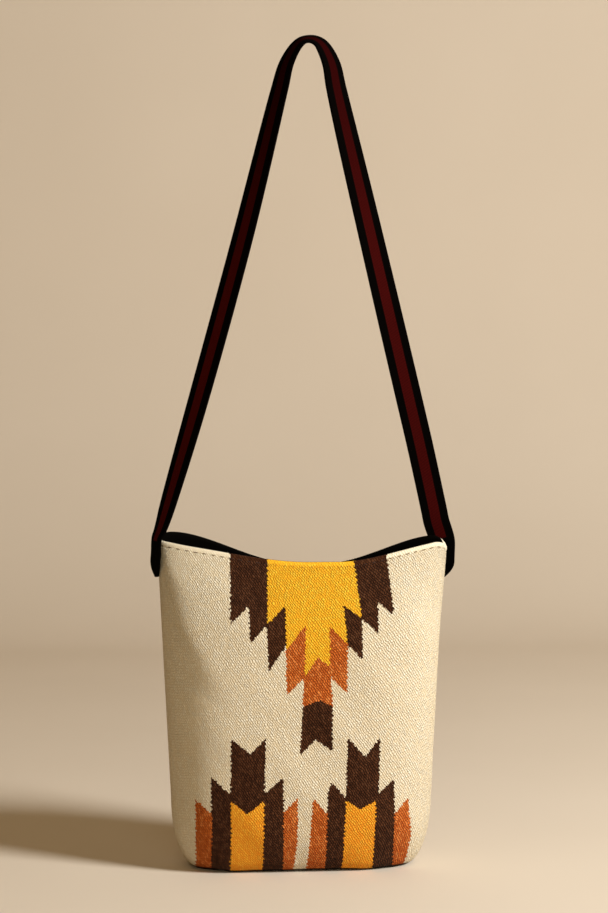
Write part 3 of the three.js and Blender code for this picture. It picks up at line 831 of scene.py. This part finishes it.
def strap_stations():
    route = leg_route(-1) + [(STRAP_TOP_X, STRAP_TOP_Z, CROWN_TURN)] + leg_route(1)[::-1]
    dense = smooth_curve(route, 40)
    length = path_length(dense[:, :2])
    count = round(length[-1] / RIB_PITCH)
    places = np.linspace(0, length[-1], count + 1)
    x, z, turn = (np.interp(places, length, dense[:, k]) for k in range(3))
    along = np.stack([np.gradient(x), np.zeros_like(x), np.gradient(z)], axis=1)
    along /= np.linalg.norm(along, axis=1, keepdims=True)
    outward = np.stack([-along[:, 2], np.zeros_like(x), along[:, 0]], axis=1)
    radians = np.radians(turn)[:, None]
    normal = outward * np.cos(radians) + np.array([[0, -1, 0]]) * np.sin(radians)
    settled = smooth((z - RIM_HEIGHT) / STRAP_SETTLE)
    back = lerp(np.where(x < STRAP_TOP_X, end_back(-1, z), end_back(1, z)), 0, settled)
    middle = np.stack([x, back, z], axis=1)
    return middle, normal, np.cross(along, normal)


def strap_mesh():
    """A ribbed closed band with its red stripe on both faces."""
    middle, normal, across = strap_stations()
    half = STRAP_WIDTH / 2
    face = STRAP_THICKNESS / 2
    flat = np.linspace(STRAP_EDGE - half, half - STRAP_EDGE, WEB_COLUMNS + 1)
    section = [(s, face) for s in flat[::-1]] + [(-half, 0)] + [(s, -face) for s in flat] + [(half, 0)]
    s, n = np.array(section).T
    count, stations = len(section), len(middle)
    station, place = np.meshgrid(np.arange(stations), np.arange(count), indexing="ij")
    over = ((station + place) % 2).astype(float)
    out = n + np.sign(n) * RIB_HEIGHT * over
    side = strap_reach(middle[:, 0], middle[:, 2])[:, None] * s[None]
    points = middle[:, None] + side[..., None] * across[:, None] + out[..., None] * normal[:, None]
    a = (station * count + place)[:-1]
    b = (station * count + (place + 1) % count)[:-1]
    faces = np.stack([a, a + count, b + count, b], axis=-1).reshape(-1, 4).tolist()
    edge = (s + np.roll(s, -1)) / 2
    red = (np.abs(edge) < STRIPE_WIDTH / 2 + GAP) & (n != 0) & (np.roll(n, -1) != 0)
    striped = middle[:-1, 2] > RIM_HEIGHT + STRIPE_END_RISE
    painted = (striped[:, None] & red[None]).astype(np.int32)
    end = (stations - 1) * count
    faces += [list(range(count)), list(range(end + count - 1, end - 1, -1))]
    painted = np.append(painted, [0, 0])
    piece = make_piece("strap_webbing", points.reshape(-1, 3), faces, [BLACK, RED], painted)
    point_values(piece, "ridge", over.ravel())
    # Painted light: paler down the legs, half as much on the right, the crown darker as painted shade
    side_share = np.where(middle[:, 0] < STRAP_TOP_X, 1, PAINTED_LIGHT_RIGHT)
    painted_light = side_share * smooth((STRAP_TOP_Z - middle[:, 2]) / PAINTED_LIGHT_DROP)
    point_values(piece, "painted_light", np.repeat(painted_light, count))
    return piece


strap_webbing = strap_mesh()
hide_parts("strap", "strap_stripe_outer", "strap_stripe_inner")


# Stitches
def stitch_shape():
    """A closed grain of unit size, long in x."""
    rounds, sides = 7, 8
    points = [(-0.5, 0, 0)]
    for ring in range(1, rounds):
        turn = math.pi * ring / rounds
        for side in range(sides):
            angle = 2 * math.pi * side / sides
            reach = math.sin(turn) ** 0.5 / 2
            points.append((-math.cos(turn) / 2, reach * math.cos(angle), reach * math.sin(angle)))
    points.append((0.5, 0, 0))
    last = len(points) - 1
    faces = []
    for side in range(sides):
        after = (side + 1) % sides
        faces.append([0, 1 + after, 1 + side])
        for ring in range(rounds - 2):
            a, b = 1 + ring * sides + side, 1 + ring * sides + after
            faces.append([a, b, b + sides, a + sides])
        foot = 1 + (rounds - 2) * sides
        faces.append([foot + side, foot + after, last])
    return np.array(points), faces


def stitch_row(name, places, tangents, normals, materials, painted):
    """Short closed stitches of uneven length, each laid along the cloth."""
    shape, shape_faces = stitch_shape()
    points, faces, face_material = [], [], []
    for place, tangent, normal, thread in zip(places, tangents, normals, painted):
        side = np.cross(normal, tangent)
        start = len(points) * len(shape)
        length = STITCH_LENGTHS[thread] * rng.uniform(*STITCH_LENGTH_SHARES)
        points.append(place + shape[:, :1] * length * tangent + shape[:, 1:2] * STITCH_WIDTH * side
                      + shape[:, 2:] * STITCH_HEIGHT * normal)
        faces += [[start + i for i in face] for face in shape_faces]
        face_material += [thread] * len(shape_faces)
    return make_piece(name, np.concatenate(points), faces, materials, face_material)


def hem_stitches(name, middle, patterned):
    """A row of stitches under the hem, in the colours of the cloth where it is patterned."""
    step = 1e-3
    dense = seam_to_seam(middle)
    share = 1 - HEM_DEPTH / skin_point(dense, np.ones_like(dense))[:, 2]
    line = skin_point(dense, share)
    length = path_length(line)
    count = int((length[-1] - 2 * STITCH_PITCH) // STITCH_PITCH)
    at = np.interp(STITCH_PITCH * (1 + np.arange(count + 1)), length, dense)
    shares = np.interp(at, dense, share)
    ahead = skin_point(at + step, np.interp(at + step, dense, share))
    here = skin_point(at, shares)
    tangent = (ahead - here) / np.linalg.norm(ahead - here, axis=1, keepdims=True)
    normal = skin_normal(at, shares)
    sunk = here - normal * STITCH_SINK
    painted = woven_colours(here[:, ::2]) if patterned else np.zeros(len(at), dtype=np.int32)
    return stitch_row(name, sunk, tangent, normal, HEM_THREADS, painted)


front_stitches = hem_stitches("hem_stitches_front", 0.0, patterned=True)
back_stitches = hem_stitches("hem_stitches_back", math.pi, patterned=False)


# Snap pieces and board
for name in ("snap_stud", "snap_socket", "snap_washer_front", "snap_washer_back", "base_board"):
    mesh = frame["nodes"][name].data
    mesh.materials.clear()
    mesh.materials.append(BOARD if name == "base_board" else NICKEL)


# Bodies: each piece hangs from the root body; the slot listed beside it is not set
for piece, slot in ((front_cloth, "wool_cream"), (back_cloth, "wool_cream"), (base_cloth, "wool_cream"),
                    (lining_cloth, "lining_black"), (strap_webbing, "strap_black"),
                    (front_stitches, "wool_brown"), (back_stitches, "wool_brown")):
    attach(piece, "root")


# Floor that curves up into a backdrop, which is clear from behind so that it hides nothing
def studio():
    radius, back, height, front, side = 0.7, 1.5, 4.0, -4.5, 5.0
    turns = np.linspace(0, math.pi / 2, 24)
    bend = [(back + radius * math.sin(turn), radius - radius * math.cos(turn)) for turn in turns]
    profile = [(front, 0.0)] + bend + [(back + radius, height)]
    points = [(x, y, z) for y, z in profile for x in (-side, side)]
    faces = [[2 * i, 2 * i + 1, 2 * i + 3, 2 * i + 2] for i in range(len(profile) - 1)]
    material, tree, shader = new_material("studio_paper", 0.9, specular=0.1)
    grain = noise_at(tree, own_place(tree), 3.0, 2.0)
    paint(tree, shader, grain, (0.69, 0.605, 0.495), (0.73, 0.645, 0.535))
    behind = node(tree, "NewGeometry").outputs["Backfacing"]
    clear = node(tree, "BsdfTransparent").outputs["BSDF"]
    paper = node(tree, "MixShader", {0: behind, 1: shader.outputs["BSDF"], 2: clear}).outputs["Shader"]
    tree.links.new(paper, tree.nodes["Material Output"].inputs["Surface"])
    floor = make_piece("studio_floor", np.array(points) / MM, faces, [material])


studio()


# Camera and lights
def aim(thing, place, target):
    thing.location = place
    thing.rotation_euler = (Vector(target) - Vector(place)).to_track_quat("-Z", "Y").to_euler()


def add_light(name, place, target, size, power, tint):
    data = bpy.data.lights.new(name, "AREA")
    data.shape = "DISK"
    data.size = size
    data.energy = power
    data.color = tint
    lamp = bpy.data.objects.new(name, data)
    bpy.context.scene.collection.objects.link(lamp)
    aim(lamp, place, target)


LIGHT_TARGET = (0, 0, 0.25)
CAMERA_DISTANCE = 2.0
CAMERA_HEIGHT = 0.475
CAMERA_YAW = math.radians(5)
CAMERA_PITCH = math.radians(2.45)
CAMERA_SIDE = 0.0026
FOCAL_PIXELS = 2105
SENSOR = 36.0

scene = bpy.context.scene
camera_data = bpy.data.cameras.new("camera")
camera_data.sensor_width = SENSOR
camera_data.lens = SENSOR * FOCAL_PIXELS / PHOTO_HEIGHT
camera = bpy.data.objects.new("camera", camera_data)
scene.collection.objects.link(camera)
camera_x = CAMERA_SIDE * math.cos(CAMERA_YAW) - CAMERA_DISTANCE * math.sin(CAMERA_YAW)
camera_y = -CAMERA_SIDE * math.sin(CAMERA_YAW) - CAMERA_DISTANCE * math.cos(CAMERA_YAW)
camera.location = (camera_x, camera_y, CAMERA_HEIGHT)
camera.rotation_euler = (math.pi / 2 - CAMERA_PITCH, 0, -CAMERA_YAW)
scene.camera = camera

add_light("key", (2.25, -1.52, 1.82), LIGHT_TARGET, 0.8, 134, (1.0, 0.99, 0.97))
add_light("fill", (0.0, -3.0, 1.05), LIGHT_TARGET, 1.6, 14, (1.0, 0.92, 0.76))


# Warm light from the room, which is pale itself
def room():
    world = bpy.data.worlds.new("soft_room")
    world.use_nodes = True
    tree = world.node_tree
    light = tree.nodes["Background"]
    light.inputs["Color"].default_value = colour((1.0, 0.60, 0.16))
    light.inputs["Strength"].default_value = 0.17
    pale = node(tree, "Background", {"Color": colour((0.57, 0.45, 0.32)), "Strength": 1.0})
    rays = node(tree, "LightPath").outputs
    mirrored = calculated(tree, "MAXIMUM", rays["Is Glossy Ray"], rays["Is Transmission Ray"])
    seen = calculated(tree, "MAXIMUM", rays["Is Camera Ray"], mirrored)
    shown = node(tree, "MixShader", {0: seen, 1: light.outputs[0], 2: pale.outputs[0]}).outputs["Shader"]
    tree.links.new(shown, tree.nodes["World Output"].inputs["Surface"])
    scene.world = world


room()
scene.view_settings.view_transform = "Standard"
